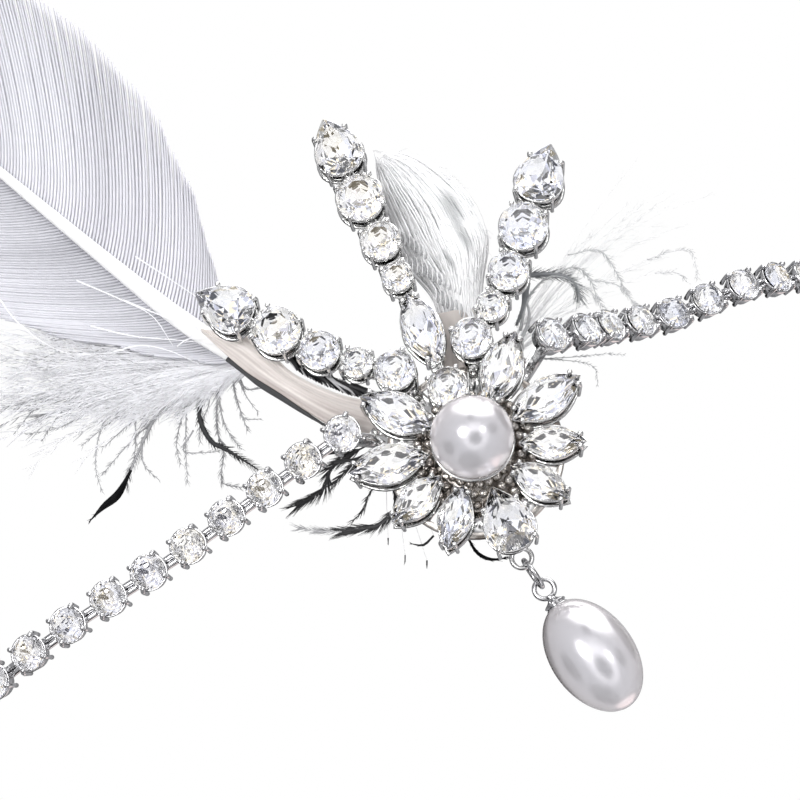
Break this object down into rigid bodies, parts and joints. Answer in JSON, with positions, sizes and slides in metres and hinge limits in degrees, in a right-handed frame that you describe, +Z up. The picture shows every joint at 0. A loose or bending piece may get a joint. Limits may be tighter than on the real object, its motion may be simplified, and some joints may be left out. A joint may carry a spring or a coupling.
{
  "type": "flapper feather headband",
  "caption": "Head chain of clear cup stones with a pearl and crystal medallion, three stone rays, a hanging pearl drop and feathers rising behind.",
  "frame": {"origin": "where the head sits: the middle of the chain loop, level with the medallion's pearl", "axes": "+Z up as worn, the medallion looks along -Y, +X to the right seen from the front"},
  "size_m": [0.1773, 0.2026, 0.1662],
  "materials": {
    "silver_metal": "bright plated, lightly brushed",
    "cup_chain": "bright plated cups with clear stones",
    "crystal": "clear cut crystal, foiled behind",
    "pearl": "pearl lustre",
    "grey_feather": "satin barbs, pale lavender grey",
    "cream_quill": "smooth, slightly translucent",
    "white_down": "loose down",
    "white_plume": "fine soft barbs",
    "dark_feather": "thin dark barbs"
  },
  "bodies": {
    "headband": {"medallion_frame": "silver_metal", "clasp": "silver_metal", "chain_left": "cup_chain", "chain_right": "cup_chain", "centre_pearl": "pearl", "large_feather": "grey_feather", "cream_quill_web": "cream_quill", "down_tuft": "white_down", "curled_plume": "white_plume", "right_plume": "white_plume", "dark_plume": "dark_feather", "petal_upper_left": "crystal", "petal_upper_right": "crystal", "petal_side_left": "crystal", "petal_side_right": "crystal", "petal_low_left": "crystal", "petal_low_right": "crystal", "petal_bottom_left": "crystal", "petal_bottom_right": "crystal", "petal_pear": "crystal", "ray_centre_1": "crystal", "ray_centre_2": "crystal", "ray_centre_3": "crystal", "ray_centre_4": "crystal", "ray_centre_5": "crystal", "ray_centre_6": "crystal", "ray_left_1": "crystal", "ray_left_2": "crystal", "ray_left_3": "crystal", "ray_left_4": "crystal", "ray_left_5": "crystal", "ray_right_1": "crystal", "ray_right_2": "crystal", "ray_right_3": "crystal", "ray_right_4": "crystal", "ray_right_5": "crystal"},
    "ring": {"jump_ring": "silver_metal"},
    "drop": {"drop_cap": "silver_metal", "drop_pearl": "pearl"}
  },
  "joints": [
    {"name": "ring_swing", "type": "hinge", "parent": "headband", "child": "ring", "pos_m": [0.01864, -0.0917, -0.01532], "axis": [0.9942, 0, 0.108], "range_deg": [-60, 30]},
    {"name": "drop_swing", "type": "hinge", "parent": "ring", "child": "drop", "pos_m": [0.01897, -0.0917, -0.0183], "axis": [0, 1, 0], "range_deg": [-40, 40]}
  ]
}
